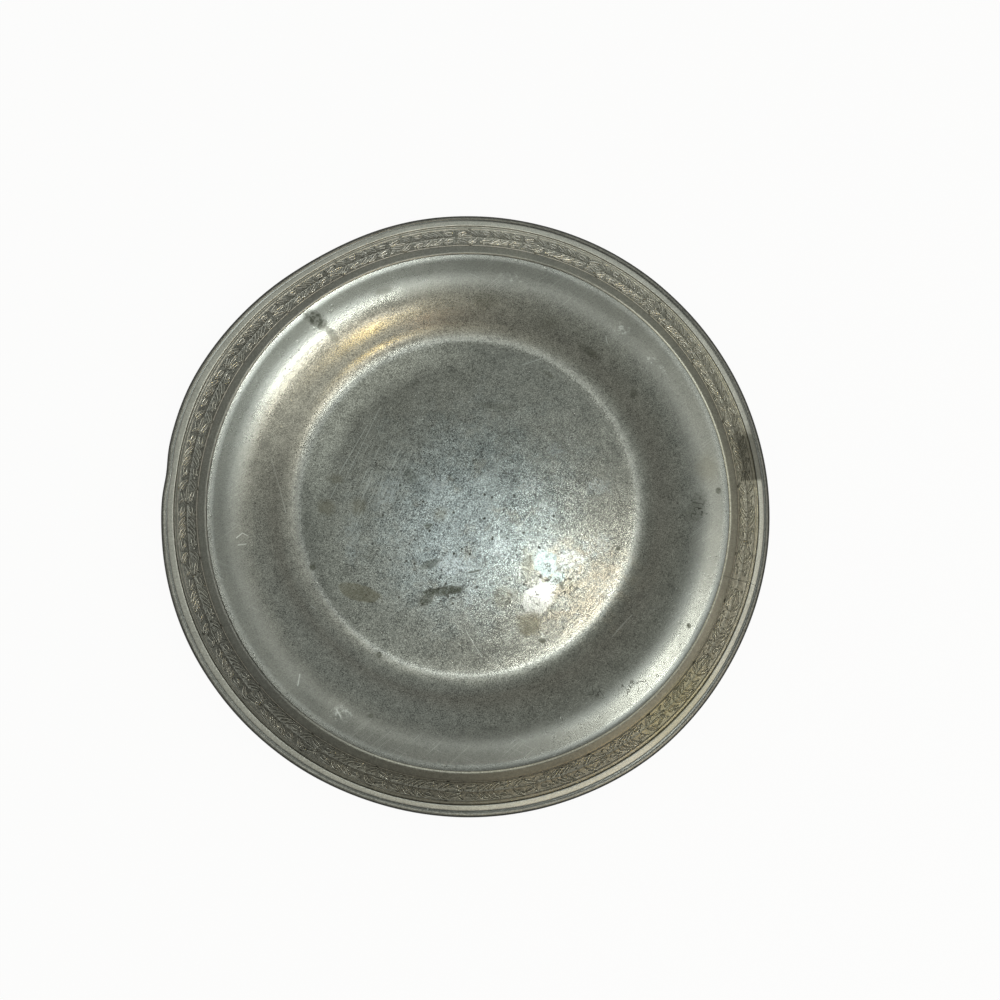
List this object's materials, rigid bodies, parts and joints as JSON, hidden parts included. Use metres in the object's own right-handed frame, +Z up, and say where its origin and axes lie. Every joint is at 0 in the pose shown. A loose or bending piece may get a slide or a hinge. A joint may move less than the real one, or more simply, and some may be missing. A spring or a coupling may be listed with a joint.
{
  "type": "bowl",
  "caption": "Shallow round pewter bowl with a flat floor, a low curved wall and a flat rim that carries a rolled leaf border and a round edge wire",
  "frame": {"origin": "centre of the flat underside, on the surface the bowl stands on", "axes": "+Z up out of the bowl's mouth; +X to the right and +Y away from the viewer in the picture"},
  "size_m": [0.254, 0.254, 0.0146],
  "materials": {
    "body_pewter": "satin pewter, hand polished in circles, scratched, pitted and stained with use",
    "border_pewter": "darkened pewter with a warm grey-brown patina in the hollows and rubbed leaf tops",
    "wire_pewter": "worn satin pewter, brighter on the crown where hands and tables rub it"
  },
  "bodies": {
    "root": {"bowl_body": "body_pewter", "leaf_border": "border_pewter", "edge_wire": "wire_pewter"}
  },
  "joints": []
}
